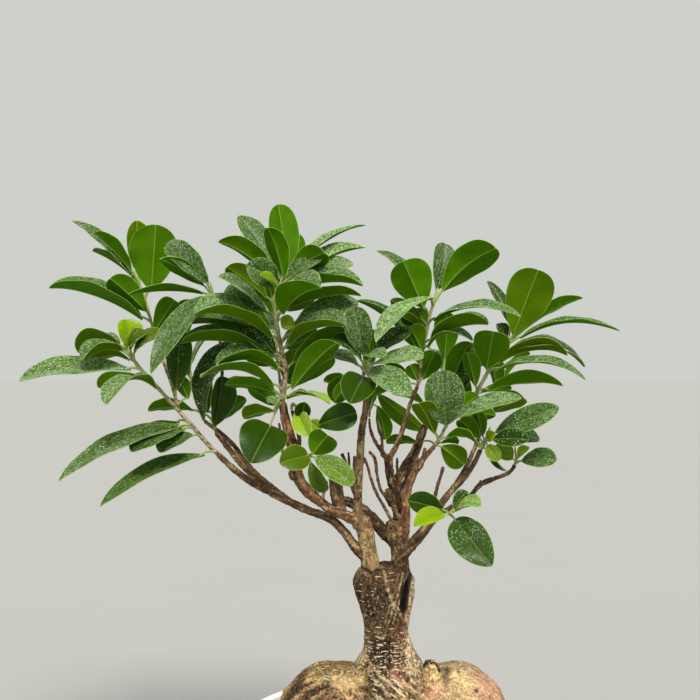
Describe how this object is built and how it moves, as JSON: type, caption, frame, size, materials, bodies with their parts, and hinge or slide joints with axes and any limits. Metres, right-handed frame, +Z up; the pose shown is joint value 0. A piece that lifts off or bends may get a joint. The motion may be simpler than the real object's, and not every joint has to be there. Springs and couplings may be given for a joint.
{
  "type": "chinese banyan bonsai",
  "caption": "Small potted fig tree: swollen roots, a cut trunk, bare crooked branches and leafy shoots, standing in soil in a round white glazed pot.",
  "frame": {"origin": "centre of the pot's flat underside", "axes": "+Z up; the view that the picture shows looks along +Y, with +X to the viewer's right"},
  "size_m": [0.3479, 0.182, 0.3986],
  "materials": {
    "glaze": "smooth white glaze",
    "net": "plain",
    "soil": "crumbly potting mix",
    "bark": "rough bark with pale pores",
    "leaf": "leathery, waxy, with water drops"
  },
  "bodies": {
    "root": {"pot": "glaze", "drain_net": "net", "soil": "soil", "trunk_and_branches": "bark", "spray_left": "leaf", "spray_left_back": "leaf", "spray_centre_left": "leaf", "spray_centre_bud": "leaf", "spray_centre_front": "leaf", "spray_middle": "leaf", "spray_back_centre": "leaf", "spray_right_top": "leaf", "spray_right_back": "leaf", "spray_right_front": "leaf", "spray_right_branch": "leaf", "spray_right_tip": "leaf", "spray_front_low": "leaf", "spray_back_left": "leaf", "spray_back_centre_left": "leaf", "spray_back_middle": "leaf", "spray_back_right": "leaf", "spray_back_far_right": "leaf"}
  },
  "joints": []
}
